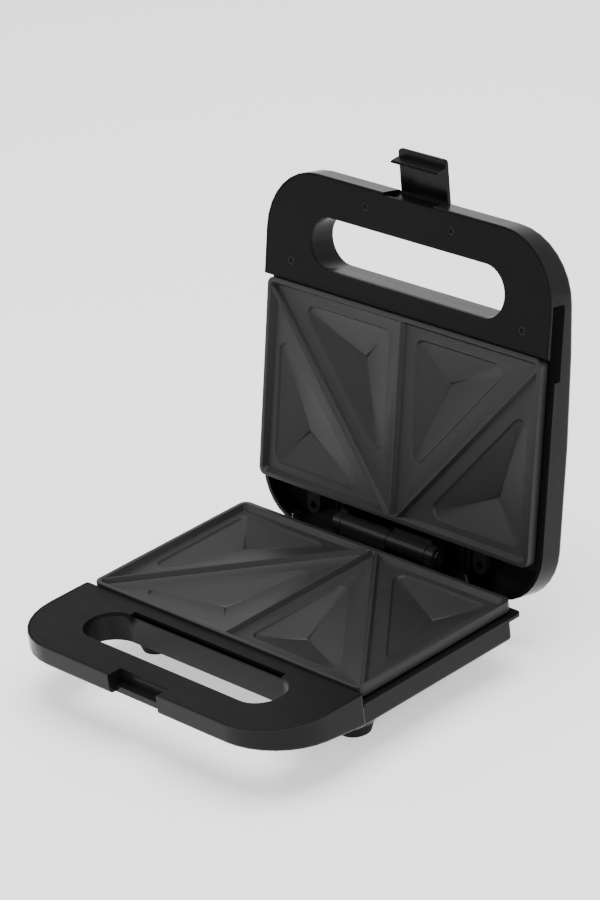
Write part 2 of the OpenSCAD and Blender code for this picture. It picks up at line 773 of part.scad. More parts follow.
module base_mass() {
    mass(hw, -reach, 0, front_r, 3, base_edge_r, face_drop - 0.6, base_front, base_knee, base_deep);
    mass(base_wall_x, -6, base_wall_y, 3, 3, 3, rim_drop, base_deep, base_deep, base_deep);
    slab(rim_drop, rim_drop + 2) plan(hw, -1, base_rim_y, 1, 3.5);
    hull() {
        slab(base_deep - 2, base_deep - 1) plan(pan_top_x, -3, plate_d - 7, 4, 4);
        slab(pan_deep - eps, pan_deep) plan(pan_foot_x, 10, plate_d - 15, 6, 6);
    }
    slab(tail_top, pan_deep) plan(tail_x, plate_d - 15, tail_y, 3, 6);
    for (p = foot_at) translate([p.x, p.y, pan_deep - 8]) cylinder(r1 = foot_r + 7.5, r2 = foot_r + 3, h = 8);
}

module base_ribs() {
    rib = 1.6;
    for (p = face_screws) translate([p.x, p.y, face_under + 3]) cylinder(r = 4.2, h = pan_deep);
    for (p = post_at) translate([p.x, p.y, boss_end]) cylinder(r = boss_r + 0.4, h = pan_deep);
    both_sides() translate([60 - rib / 2, 22, shield_at + shield_t]) cube([rib, 88, pan_deep]);
    for (p = foot_at) translate([p.x, p.y, pan_deep - 9]) cylinder(r1 = foot_r + 5, r2 = foot_r + 0.6, h = 9);
    slab(face_under, pan_deep) stadium(slot_r + wall - 0.4);
    translate([-notch_w / 2 - wall, -reach, face_under]) cube([notch_w + 2 * wall, notch_d + wall, pan_deep]);
}

module base_web(x0, x1) {
    profile([
        [base_wall_y - 1, base_deep - 4], [base_wall_y - 1, rim_drop + 0.4], [hinge_y - 8, rim_drop + 0.4],
        [hinge_y - knuckle_r + 0.2, -hinge_lift - 0.2], [hinge_y, -hinge_lift],
        [hinge_y + knuckle_r - 1.4, 3.4], [hinge_y - 2, 14], [hinge_y - 6, base_deep - 4]
    ], x0, x1);
}

module base_knuckles() {
    for (span = [[-short_end + knuckle_gap, knuckle_split], [short_end, knuckle_row]]) {
        base_web(span[0], span[1]);
        knuckle(span[0], span[1], -hinge_lift);
    }
    // Bracket that the lid's long knuckle rests on when the lid stands open
    profile([
        [base_wall_y - 1, base_deep - 4], [base_wall_y - 1, rim_drop + 0.4], [hinge_y - 5, 7.2],
        [hinge_y + 2.2, 7.2], [hinge_y - 4, base_deep - 4]
    ], knuckle_split + 5, short_end - 5);
}

module base_shell() {
    color("#161616") base_side() difference() {
        union() {
            intersection() {
                base_mass();
                union() {
                    difference() {
                        translate([-hw, -reach, face_drop]) cube([2 * hw, reach + tail_y, pan_deep]);
                        base_hollow();
                    }
                    base_ribs();
                }
            }
            base_knuckles();
            both_sides() translate([lug_x, stud_y, -0.2]) cylinder(r = 3.4, h = rim_drop + 2.2);
        }
        intersection() {
            slab(-1, face_under) plan(hw - lip, -reach + lip, 30, front_r - lip, 2);
            translate([-hw, -reach, -1]) cube([2 * hw, reach, 10]);
        }
        hinge_bore(-hinge_lift, set_fit);
        slot_cut(slot_r);
        difference() {
            notch_cut(notch_d);
            profile([
                [notch_y - 5.7, 10], [notch_y + 1, 10], [notch_y + 1, base_h(notch_y + 1)],
                [notch_y - 5.7, base_h(notch_y - 5.7)]
            ]);
        }
        for (p = face_screws) translate([p.x, p.y, 0]) {
            cylinder(r = screw_r + 0.2, h = pan_deep);
            translate([0, 0, base_h(p.y) - 2.2]) cylinder(r = 3.2, h = pan_deep);
        }
        for (p = post_at) translate([p.x, p.y, 0]) {
            cylinder(r = screw_r + 0.2, h = pan_deep + 5);
            translate([0, 0, boss_end + 3]) cylinder(r = 3.2, h = pan_deep);
        }
        for (p = foot_at) translate([p.x, p.y, pan_deep - 10]) cylinder(r = 3, h = 20);
        both_sides() translate([lug_x, stud_y, -1]) cylinder(r = screw_r + set_fit, h = 9);
        translate([cord_x, tail_y - wall - 1, cord_h]) rotate([-90, 0, 0]) cylinder(r = 6, h = wall + 5);
    }
}

module base_frame() {
    fx = base_wall_x - wall - 0.3;
    color("#1c1c1c") base_side() difference() {
        union() {
            face(fx, notch_d);
            surround(true) plan(fx, -2.4, base_wall_y - wall - 0.3, 0.5, 2);
            for (p = face_screws) translate([p.x, p.y, face_under - eps]) cylinder(r = 3.8, h = 3);
        }
        translate([-slot_len / 2 + slot_r, -slot_back, -1])
            cube([slot_len - 2 * slot_r, slot_back + setback_y, 9]);
        for (p = face_screws) translate([p.x, p.y, face_drop + 1.2]) cylinder(r = screw_r + set_fit, h = 10);
    }
}

module base_plate() {
    color("#2b2b2d") base_side() plate();
}

module base_heater() {
    color("#8a8f94") base_side() heater();
}

module base_heater_clips() {
    color("#b9bcc0") base_side() heater_clips();
}

module base_heat_shield() {
    color("#c9ccd0") base_side() heat_shield(boss_r + 1);
}

module base_plate_screws() {
    color("#a0a4a8") base_side() for (p = post_at) translate([p.x, p.y, 0]) screw(boss_end + 3, 8);
}

module base_frame_screws() {
    color("#6a6a6a") base_side() {
        for (p = face_screws) translate([p.x, p.y, 0])
            screw(base_h(p.y) - 2.2, base_h(p.y) - 2.2 - face_drop - 1.5);
        both_sides() translate([lug_x, stud_y, 0]) {
            translate([0, 0, -2.2]) cylinder(r = 3.1, h = 2);
            translate([0, 0, -0.3]) cylinder(r = screw_r, h = 8);
        }
    }
}

module feet() {
    color("#202020") base_side() for (p = foot_at) translate([p.x, p.y, 0]) {
        translate([0, 0, pan_deep]) cylinder(r1 = foot_r + 2.5, r2 = foot_r, h = foot_deep - pan_deep);
        translate([0, 0, pan_deep - 9.4]) cylinder(r = 2.97, h = 9.4 + eps);
    }
}

module thermostat() {
    color("#d8d4c8") base_side() translate([0, 34, plate_under]) {
        cylinder(r = 7, h = 7);
        translate([-2, -11, 0]) cube([4, 22, 1]);
        for (x = [-4, 2.4]) translate([x, -1.5, 6]) cube([1.6, 3, 4.5]);
    }
}

module thermal_fuse() {
    color("#e6e2da") base_side() translate([0, 56, plate_under + 2]) rotate([-90, 0, 0]) {
        cylinder(r = 2, h = 12);
        translate([0, 0, -5]) cylinder(r = 0.6, h = 22);
    }
}

module terminal_block() {
    pole = 12;
    deep = 15;
    tall = pan_deep - tail_top - 2 * wall - 0.6;
    color("#efece4") base_side() difference() {
        translate([-1.5 * pole, plate_d - 2, pan_deep - wall - tall]) cube([3 * pole, deep, tall]);
        for (x = [-pole, 0, pole]) {
            translate([x, plate_d + 5.5, pan_deep - wall - tall - 1]) cylinder(r = 2.2, h = tall - 3);
            translate([x, plate_d - 3, pan_deep - wall - tall / 2 - 1.5]) rotate([-90, 0, 0])
                cylinder(r = 2, h = deep + 5);
        }
    }
}

module cord_bush() {
    color("#262626") base_side() translate([cord_x, tail_y, cord_h]) rotate([-90, 0, 0]) difference() {
        union() {
            translate([0, 0, -wall - 0.8]) cylinder(r = 5.95, h = wall + 0.8);
            cylinder(r = 8, h = 2);
        }
        translate([0, 0, -wall - 3]) cylinder(r = 3.6, h = wall + 6);
    }
}

module cord_clamp() {
    color("#303030") base_side() difference() {
        translate([cord_x - 12, tail_y - 16, pan_deep - wall - 7]) cube([24, 7, 7]);
        translate([cord_x, tail_y - 17, cord_h]) rotate([-90, 0, 0]) cylinder(r = 3.6, h = 9);
        for (x = [-8.5, 8.5]) translate([cord_x + x, tail_y - 12.5, 20]) cylinder(r = 1.5, h = 12);
    }
}

module hinge_pin() {
    color("#c0c4c8") base_side() translate([-knuckle_row - 0.8, hinge_y, -hinge_lift]) rotate([0, 90, 0]) {
        cylinder(r = hinge_pin_r, h = 2 * knuckle_row + 1.4);
        translate([0, 0, 2 * knuckle_row + 1.2]) cylinder(r = hinge_pin_r + 1.2, h = 1.2);
    }
}

base_shell();
base_frame();
base_plate();
base_heater();
base_heater_clips();
base_heat_shield();
base_plate_screws();
base_frame_screws();
feet();
thermostat();
thermal_fuse();
terminal_block();
cord_bush();
cord_clamp();
hinge_pin();
lid_shell();
lid_frame();
lid_plate();
lid_heater();
lid_heater_clips();
lid_heat_shield();
lid_plate_screws();
lid_frame_screws();
power_lens();
ready_lens();
lamp_bulbs();
latch_pin();
latch();
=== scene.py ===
"""Countertop sandwich toaster, dressed for a studio picture.

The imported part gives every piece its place. Here the pieces that can be seen get smooth faces, the
cast plates, the handle faces and the clip get softened edges, the lid gets a finger grip in each side,
and every piece gets its finish. Then the studio gets its table, its light and its camera. Lengths are
metres unless a name says otherwise.
"""

import json
import logging
import math
from dataclasses import dataclass, field
from enum import Enum
from typing import Any

import bpy
from mathutils import Matrix, Vector


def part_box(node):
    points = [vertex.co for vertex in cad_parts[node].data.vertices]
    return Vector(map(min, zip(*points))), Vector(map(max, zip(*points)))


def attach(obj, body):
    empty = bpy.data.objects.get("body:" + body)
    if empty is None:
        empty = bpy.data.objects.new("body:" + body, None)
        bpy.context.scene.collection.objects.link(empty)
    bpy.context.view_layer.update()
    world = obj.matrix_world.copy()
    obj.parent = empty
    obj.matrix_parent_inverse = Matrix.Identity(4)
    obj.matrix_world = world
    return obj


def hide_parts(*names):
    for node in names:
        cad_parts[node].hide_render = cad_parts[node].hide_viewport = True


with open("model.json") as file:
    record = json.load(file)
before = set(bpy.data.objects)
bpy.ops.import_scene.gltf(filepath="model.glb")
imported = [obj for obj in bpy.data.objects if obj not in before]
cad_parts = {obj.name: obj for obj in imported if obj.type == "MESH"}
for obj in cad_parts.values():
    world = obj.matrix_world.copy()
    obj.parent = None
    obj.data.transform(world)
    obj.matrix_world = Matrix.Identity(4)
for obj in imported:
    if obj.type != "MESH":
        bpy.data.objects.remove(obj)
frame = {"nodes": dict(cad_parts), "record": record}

log = logging.getLogger("toaster")
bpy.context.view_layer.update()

Colour = tuple[float, float, float]
Triple = tuple[float, float, float]
Span = tuple[float, float]

# Values of a noise between which a blend or a roughness runs
NOISE_MIDDLE: Span = (0.3, 0.7)
NOISE_PATCHES: Span = (0.3, 0.75)


class Signal:
    """A shader socket that takes part in Python expressions."""

    def __init__(self, nodes: "Nodes", socket: bpy.types.NodeSocket) -> None:
        """Keep the socket and the tree that its maths nodes go on."""
        self.nodes = nodes
        self.socket = socket

    def _maths(self, operation: str, other: Any) -> "Signal":
        """Add one Math node that works on this signal and another value.

        Args:
            operation: the node's operation.
            other: its second value or signal.

        Returns:
            The node's result.
        """
        node = self.nodes.add("ShaderNodeMath", {"operation": operation})
        self.nodes.feed(node.inputs[0], self)
        self.nodes.feed(node.inputs[1], other)
        return Signal(self.nodes, node.outputs[0])

    def __add__(self, other: Any) -> "Signal":
        """Return the sum."""
        return self._maths("ADD", other)

    __radd__ = __add__

    def __mul__(self, other: Any) -> "Signal":
        """Return the product."""
        return self._maths("MULTIPLY", other)

    __rmul__ = __mul__

    def axis(self, name: str) -> "Signal":
        """Return the X, Y or Z of a signal that is a vector."""
        node = self.nodes.add("ShaderNodeSeparateXYZ", Vector=self)
        return Signal(self.nodes, node.outputs[name])

    def ramp(self, span: Span, becomes: Span = (0.0, 1.0)) -> "Signal":
        """Map a span of this signal to another span, held at its ends.

        Args:
            span: the values where the span starts and ends.
            becomes: what its start and its end become.

        Returns:
            The mapped signal.
        """
        node = self.nodes.add("ShaderNodeMapRange", {"clamp": True})
        for socket, value in zip(node.inputs, (self, *span, *becomes)):
            self.nodes.feed(socket, value)
        return Signal(self.nodes, node.outputs[0])


class Nodes:
    """A tree of shader nodes, each added by its type."""

    def __init__(self, tree: bpy.types.NodeTree) -> None:
        """Keep the tree."""
        self.tree = tree

    def add(
        self, kind: str, settings: dict[str, Any] | None = None, **values: Any
    ) -> bpy.types.Node:
        """Add a node.

        Args:
            kind: the node's type.
            settings: the node's own settings, which are set first.
            values: a value or signal for each socket, by its name with _ for a space.

        Returns:
            The node.
        """
        node = self.tree.nodes.new(kind)
        for key, value in (settings or {}).items():
            setattr(node, key, value)
        for key, value in values.items():
            self.feed(node.inputs[key.replace("_", " ")], value)
        return node

    def feed(self, socket: bpy.types.NodeSocket, value: Any) -> None:
        """Link a signal to a socket, or set the socket to a plain value."""
        if isinstance(value, Signal):
            self.tree.links.new(value.socket, socket)
        elif isinstance(value, (tuple, list)) and socket.type == "RGBA" and len(value) == 3:
            socket.default_value = (*value, 1.0)
        else:
            socket.default_value = value

    def blend(self, low: Colour | Signal, high: Colour | Signal, share: Signal) -> Signal:
        """Return a colour between two colours."""
        node = self.add("ShaderNodeMix", {"data_type": "RGBA"})
        self.feed(node.inputs[0], share)
        self.feed(node.inputs[6], low)
        self.feed(node.inputs[7], high)
        return Signal(self, node.outputs[2])


class Sheet(Nodes):
    """The node tree of one finish, with a Principled shader that the finish fills in."""

    def __init__(self, name: str) -> None:
        """Start a material of that name."""
        self.material = bpy.data.materials.new(name)
        self.material.use_nodes = True
        super().__init__(self.material.node_tree)
        self.shader = self.tree.nodes["Principled BSDF"]

    def place(self, stretch: Triple = (1, 1, 1)) -> Signal:
        """Return the piece's own coordinates in metres, stretched along each axis."""
        source = self.add("ShaderNodeTexCoord")
        own = Signal(self, source.outputs["Object"])
        spread = self.add("ShaderNodeMapping", Vector=own, Scale=stretch)
        return Signal(self, spread.outputs[0])

    def noise(self, at: Signal, per_metre: float, detail: float, rough: float = 0.5) -> Signal:
        """Return cloudy noise from 0 to 1 with about that many grains a metre."""
        node = self.add(
            "ShaderNodeTexNoise", Vector=at, Scale=per_metre, Detail=detail, Roughness=rough
        )
        return Signal(self, node.outputs["Fac"])

    def grains(self, at: Signal, per_metre: float) -> Signal:
        """Return the distance to the nearest of scattered grains, about 0 to 1."""
        node = self.add("ShaderNodeTexVoronoi", Vector=at, Scale=per_metre)
        return Signal(self, node.outputs["Distance"])

    def relief(self, height: Signal, depth: float) -> Signal:
        """Return the normal of a surface whose height varies by that depth in metres."""
        node = self.add("ShaderNodeBump", Height=height, Distance=depth, Strength=1.0)
        return Signal(self, node.outputs[0])

    def fill(self, **values: Any) -> bpy.types.Material:
        """Set sockets of the shader and return the finished material."""
        for key, value in values.items():
            self.feed(self.shader.inputs[key.replace("_", " ")], value)
        return self.material


@dataclass(frozen=True)
class Moulding:
    """Injection-moulded plastic or rubber, polished or spark-eroded, with faint wiping marks.

    It has slow clouds of colour, a fine grain in relief, and marks that make it glossier or duller.
    """

    name: str
    colour: Colour
    lifted: Colour
    rough: float
    rough_spread: float
    grain_per_metre: float
    grain_depth: float
    specular: float = 0.5
    clouds_per_metre: float = 14
    wipes_per_metre: float = 22
    wipe_stretch: Triple = (1, 7, 3)
    wipe_span: Span = (0.35, 0.75)
    grain_duller: float = 0.03

    def make(self) -> bpy.types.Material:
        """Build the material and return it."""
        sheet = Sheet(self.name)
        at = sheet.place()
        cloud = sheet.noise(at, self.clouds_per_metre, detail=3)
        grain = sheet.noise(at, self.grain_per_metre, detail=3, rough=0.6)
        along = sheet.place(self.wipe_stretch)
        wiped = sheet.noise(along, self.wipes_per_metre, detail=4, rough=0.65)
        glossiest, dullest = self.rough - self.rough_spread, self.rough + self.rough_spread
        return sheet.fill(
            Base_Color=sheet.blend(self.colour, self.lifted, cloud.ramp(NOISE_PATCHES)),
            Roughness=wiped.ramp(self.wipe_span, (glossiest, dullest)) + grain * self.grain_duller,
            Specular_IOR_Level=self.specular,
            Normal=sheet.relief(grain, self.grain_depth),
        )


@dataclass(frozen=True)
class NonStick:
    """Sprayed non-stick coating over cast aluminium.

    It has slow clouds, the fine bumps and light specks of the spray, and the casting's waves.
    """

    name: str
    colour: Colour
    lifted: Colour
    rough: float
    spray_per_metre: float
    spray_depth: float
    specular: float = 0.3
    clouds_per_metre: float = 18
    cloud_share: float = 0.7
    specks_to_spray: float = 0.6
    speck_reach: float = 0.12
    speck_share: float = 0.35
    waves_per_metre: float = 60
    spray_height: float = 0.6
    wave_height: float = 2.0
    glossier: float = 0.04
    duller: float = 0.05
    spray_duller: float = 0.05

    def make(self) -> bpy.types.Material:
        """Build the material and return it."""
        sheet = Sheet(self.name)
        at = sheet.place()
        cloud = sheet.noise(at, self.clouds_per_metre, detail=4, rough=0.6)
        spray = sheet.noise(at, self.spray_per_metre, detail=2, rough=0.7)
        specks = sheet.grains(at, self.spray_per_metre * self.specks_to_spray)
        waves = sheet.noise(at, self.waves_per_metre, detail=3)
        share = (
            cloud.ramp(NOISE_PATCHES, (0, self.cloud_share))
            + specks.ramp((self.speck_reach, 0), (0, self.speck_share))
        )
        rough = cloud.ramp(NOISE_MIDDLE, (self.rough - self.glossier, self.rough + self.duller))
        height = spray * self.spray_height + waves * self.wave_height
        return sheet.fill(
            Base_Color=sheet.blend(self.colour, self.lifted, share),
            Roughness=rough + spray * self.spray_duller,
            Specular_IOR_Level=self.specular,
            Normal=sheet.relief(height, self.spray_depth),
        )


@dataclass(frozen=True)
class BareMetal:
    """Turned, drawn or rolled metal with fine marks along or across it."""

    name: str
    colour: Colour
    darker: Colour
    rough: float
    mark_stretch: Triple
    mark_depth: float
    marks_per_metre: float = 120
    clouds_per_metre: float = 40
    cloud_share: float = 0.6
    mark_share: float = 0.4
    glossier: float = 0.06
    duller: float = 0.08

    def make(self) -> bpy.types.Material:
        """Build the material and return it."""
        sheet = Sheet(self.name)
        along = sheet.place(self.mark_stretch)
        marks = sheet.noise(along, self.marks_per_metre, detail=5, rough=0.7)
        cloud = sheet.noise(sheet.place(), self.clouds_per_metre, detail=3)
        share = cloud.ramp(NOISE_MIDDLE) * self.cloud_share + marks * self.mark_share
        span = (self.rough - self.glossier, self.rough + self.duller)
        return sheet.fill(
            Base_Color=sheet.blend(self.darker, self.colour, share),
            Metallic=1.0,
            Roughness=marks.ramp(NOISE_MIDDLE, span),
            Normal=sheet.relief(marks, self.mark_depth),
        )


@dataclass(frozen=True)
class ClearMoulding:
    """Tinted clear plastic or glass of a lamp, with faint swirls."""

    name: str
    colour: Colour
    darker: Colour
    transmission: float
    swirls_per_metre: float = 180
    swirl_span: Span = (0.2, 0.8)
    rough: Span = (0.05, 0.14)
    refraction: float = 1.49

    def make(self) -> bpy.types.Material:
        """Build the material and return it."""
        sheet = Sheet(self.name)
        swirl = sheet.noise(sheet.place(), self.swirls_per_metre, detail=3)
        return sheet.fill(
            Base_Color=sheet.blend(self.darker, self.colour, swirl.ramp(NOISE_MIDDLE)),
            Roughness=swirl.ramp(self.swirl_span, self.rough),
            Transmission_Weight=self.transmission,
            IOR=self.refraction,
        )


class Finish(Enum):
    """The finishes of the toaster's pieces."""

    SHELL = Moulding(
        "shell_gloss", (0.0055, 0.0055, 0.0058), (0.0075, 0.0075, 0.0079),
        rough=0.24, rough_spread=0.05, grain_per_metre=900, grain_depth=12e-6, specular=0.11,
    )
    FACE = Moulding(
        "handle_face_satin", (0.0045, 0.0045, 0.0047), (0.0062, 0.0062, 0.0065),
        rough=0.45, rough_spread=0.04, grain_per_metre=2200, grain_depth=35e-6, specular=0.06,
    )
    # A matt grip texture, with a colour darker than the shell's that is painted shade in the finger
    # grips
    GRIP = Moulding(
        "grip_matt_painted_shade", (0.0012, 0.0012, 0.0013), (0.002, 0.002, 0.0021),
        rough=0.6, rough_spread=0.05, grain_per_metre=2600, grain_depth=50e-6, specular=0.02,
    )
    LATCH = Moulding(
        "latch_gloss", (0.003, 0.003, 0.0032), (0.0045, 0.0045, 0.0048),
        rough=0.26, rough_spread=0.05, grain_per_metre=1200, grain_depth=20e-6, specular=0.1,
    )
    RUBBER = Moulding(
        "foot_rubber", (0.006, 0.006, 0.006), (0.01, 0.01, 0.01),
        rough=0.7, rough_spread=0.06, grain_per_metre=2600, grain_depth=60e-6, specular=0.1,
    )
    NYLON = Moulding(
        "clamp_nylon", (0.01, 0.01, 0.01), (0.016, 0.016, 0.016),
        rough=0.5, rough_spread=0.05, grain_per_metre=1600, grain_depth=30e-6,
    )
    CERAMIC = Moulding(
        "ceramic", (0.62, 0.59, 0.52), (0.72, 0.7, 0.64),
        rough=0.28, rough_spread=0.06, grain_per_metre=700, grain_depth=20e-6,
    )
    TERMINAL = Moulding(
        "terminal", (0.68, 0.66, 0.6), (0.78, 0.77, 0.73),
        rough=0.4, rough_spread=0.05, grain_per_metre=900, grain_depth=20e-6,
    )
    PLATE = NonStick(
        "non_stick_coating", (0.0095, 0.0095, 0.0103), (0.0135, 0.0135, 0.0145),
        rough=0.45, spray_per_metre=1500, spray_depth=50e-6,
    )
    SHEATH = BareMetal(
        "heater_sheath", (0.3, 0.29, 0.27), (0.17, 0.155, 0.14),
        rough=0.45, mark_stretch=(1, 1, 1), mark_depth=20e-6,
    )
    SPRING = BareMetal(
        "spring_steel", (0.55, 0.55, 0.56), (0.4, 0.4, 0.41),
        rough=0.32, mark_stretch=(1, 12, 1), mark_depth=10e-6,
    )
    SHIELD = BareMetal(
        "shield_sheet", (0.7, 0.71, 0.72), (0.58, 0.59, 0.6),
        rough=0.3, mark_stretch=(1, 30, 1), mark_depth=8e-6,
    )
    SCREW = BareMetal(
        "blackened_screw", (0.032, 0.032, 0.033), (0.014, 0.014, 0.0145),
        rough=0.3, mark_stretch=(9, 9, 9), mark_depth=10e-6,
    )
    PIN = BareMetal(
        "ground_pin", (0.5, 0.5, 0.51), (0.36, 0.36, 0.37),
        rough=0.22, mark_stretch=(25, 1, 1), mark_depth=6e-6,
    )
    RED_LENS = ClearMoulding(
        "red_lens", (0.6, 0.012, 0.01), (0.38, 0.006, 0.005), transmission=0.6
    )
    GREEN_LENS = ClearMoulding(
        "green_lens", (0.015, 0.42, 0.06), (0.008, 0.27, 0.035), transmission=0.6
    )
    BULB = ClearMoulding(
        "bulb_glass", (0.95, 0.9, 0.82), (0.85, 0.78, 0.7), transmission=0.9
    )


class Finishes:
    """The materials made so far, one for each finish."""

    def __init__(self) -> None:
        """Start with none."""
        self.made: dict[Finish, bpy.types.Material] = {}

    def get(self, finish: Finish) -> bpy.types.Material:
        """Return a finish's material, made on first use."""
        if finish not in self.made:
            self.made[finish] = finish.value.make()
        return self.made[finish]


@dataclass(frozen=True)
class Edges:
    """How a piece is smoothed and its edges softened, with all angles in degrees.

    Faces that meet within flatten are joined, edges over bevel_above get a round of that width in
    that many steps, and edges under smooth_below are shaded round. A width of 0 leaves the edges
    sharp. Level shading lets the larger faces lead, so that flat ones look flat beside round ones.
    """

    smooth_below: float = 32.0
    width: float = 0.0
    steps: int = 2
    bevel_above: float = 28.0
    flatten: float = 0.4
    level: bool = True


AS_MOULDED = Edges()
CRISP = Edges(width=0.0003)
CAST = Edges(smooth_below=50, width=0.0005, steps=3, bevel_above=24, level=False)


@dataclass(frozen=True)
class Work:
    """What a CAD node's copy gets: its finish and its edges, with the record's material slot, which is
    not used.
    """

    finish: Finish
    slot: str
    edges: Edges = AS_MOULDED


def deselect() -> None:
    """Leave nothing selected."""
    bpy.ops.object.select_all(action="DESELECT")


def use(piece: bpy.types.Object) -> None:
    """Make one piece the selected and active one."""
    deselect()
    piece.select_set(True)
    bpy.context.view_layer.objects.active = piece


def apply(piece: bpy.types.Object, modifier: bpy.types.Modifier) -> None:
    """Apply a piece's modifier to its mesh."""
    use(piece)
    bpy.ops.object.modifier_apply(modifier=modifier.name)


@dataclass
class SubAssembly:
    """Pieces that ride on one body of the toaster."""

    body: str
    finishes: Finishes
    worked: dict[str, Work] = field(default_factory=dict)
    plain: dict[str, Finish] = field(default_factory=dict)
    merge_within: float = 4e-6
    level_weight: int = 90

    def merged_copy(self, node: str, work: Work) -> bpy.types.Object:
        """Copy a CAD node with its loose triangles merged and its flat faces joined.

        Args:
            node: the CAD node.
            work: what the copy gets.

        Returns:
            The copy, in its finish.
        """
        mesh = frame["nodes"][node].data.copy()
        mesh.materials.clear()
        mesh.materials.append(self.finishes.get(work.finish))
        piece = bpy.data.objects.new(f"{node}_worked", mesh)
        bpy.context.scene.collection.objects.link(piece)
        use(piece)
        bpy.ops.mesh.customdata_custom_splitnormals_clear()
        bpy.ops.object.mode_set(mode="EDIT")
        bpy.ops.mesh.select_all(action="SELECT")
        bpy.ops.mesh.remove_doubles(threshold=self.merge_within)
        bpy.ops.mesh.dissolve_limited(angle_limit=math.radians(work.edges.flatten))
        bpy.ops.object.mode_set(mode="OBJECT")
        return piece

    def carve(self, node: str, piece: bpy.types.Object) -> None:
        """Cut shallow detail into a piece, which most pieces have none of."""

    def soften(self, piece: bpy.types.Object, edges: Edges) -> None:
        """Round a piece's sharp edges by a bevel of arcs."""
        bevel = piece.modifiers.new("soft edges", "BEVEL")
        bevel.width = edges.width
        bevel.segments = edges.steps
        bevel.limit_method = "ANGLE"
        bevel.angle_limit = math.radians(edges.bevel_above)
        bevel.miter_outer = "MITER_ARC"
        bevel.use_clamp_overlap = True
        apply(piece, bevel)

    def smooth(self, piece: bpy.types.Object, edges: Edges) -> None:
        """Shade a piece's round faces smooth, and level its flat ones if it asks for that."""
        use(piece)
        bpy.ops.object.shade_smooth_by_angle(angle=math.radians(edges.smooth_below))
        if edges.level:
            level = piece.modifiers.new("level faces", "WEIGHTED_NORMAL")
            level.weight = self.level_weight
            level.keep_sharp = True
            apply(piece, level)

    def rework(self, node: str, work: Work) -> None:
        """Replace a CAD node with a copy that has smooth faces, carved and softened where it asks.

        Args:
            node: the CAD node.
            work: what the copy gets.
        """
        piece = self.merged_copy(node, work)
        self.carve(node, piece)
        if work.edges.width:
            self.soften(piece, work.edges)
        self.smooth(piece, work.edges)
        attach(piece, self.body)
        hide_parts(node)
        log.info("%s reworked: %d faces", node, len(piece.data.polygons))

    def paint(self, node: str, finish: Finish) -> None:
        """Give a CAD node that stays as it is a finish."""
        part = frame["nodes"][node]
        part.data.materials.clear()
        part.data.materials.append(self.finishes.get(finish))
        log.info("%s painted", node)

    def build(self) -> None:
        """Rework and paint all of this body's pieces."""
        for node, work in self.worked.items():
            self.rework(node, work)
        for node, finish in self.plain.items():
            self.paint(node, finish)


@dataclass
class BaseHalf(SubAssembly):
    """Base shell, handle face, lower plate and what is inside them."""

    def __post_init__(self) -> None:
        """List the pieces with their finishes."""
        self.worked = {
            "base_shell": Work(Finish.SHELL, "shell"),
            "base_frame": Work(Finish.FACE, "handle_face", CRISP),
            "base_plate": Work(Finish.PLATE, "cooking_plate", CAST),
            "base_frame_screws": Work(Finish.SCREW, "screw"),
            "base_plate_screws": Work(Finish.SCREW, "screw"),
            "feet": Work(Finish.RUBBER, "foot_rubber"),
            "hinge_pin": Work(Finish.PIN, "pin"),
            "cord_bush": Work(Finish.RUBBER, "bush_rubber"),
        }
        self.plain = {
            "base_heater": Finish.SHEATH,
            "base_heater_clips": Finish.SPRING,
            "base_heat_shield": Finish.SHIELD,
            "thermostat": Finish.CERAMIC,
            "thermal_fuse": Finish.CERAMIC,
            "terminal_block": Finish.TERMINAL,
            "cord_clamp": Finish.NYLON,
        }


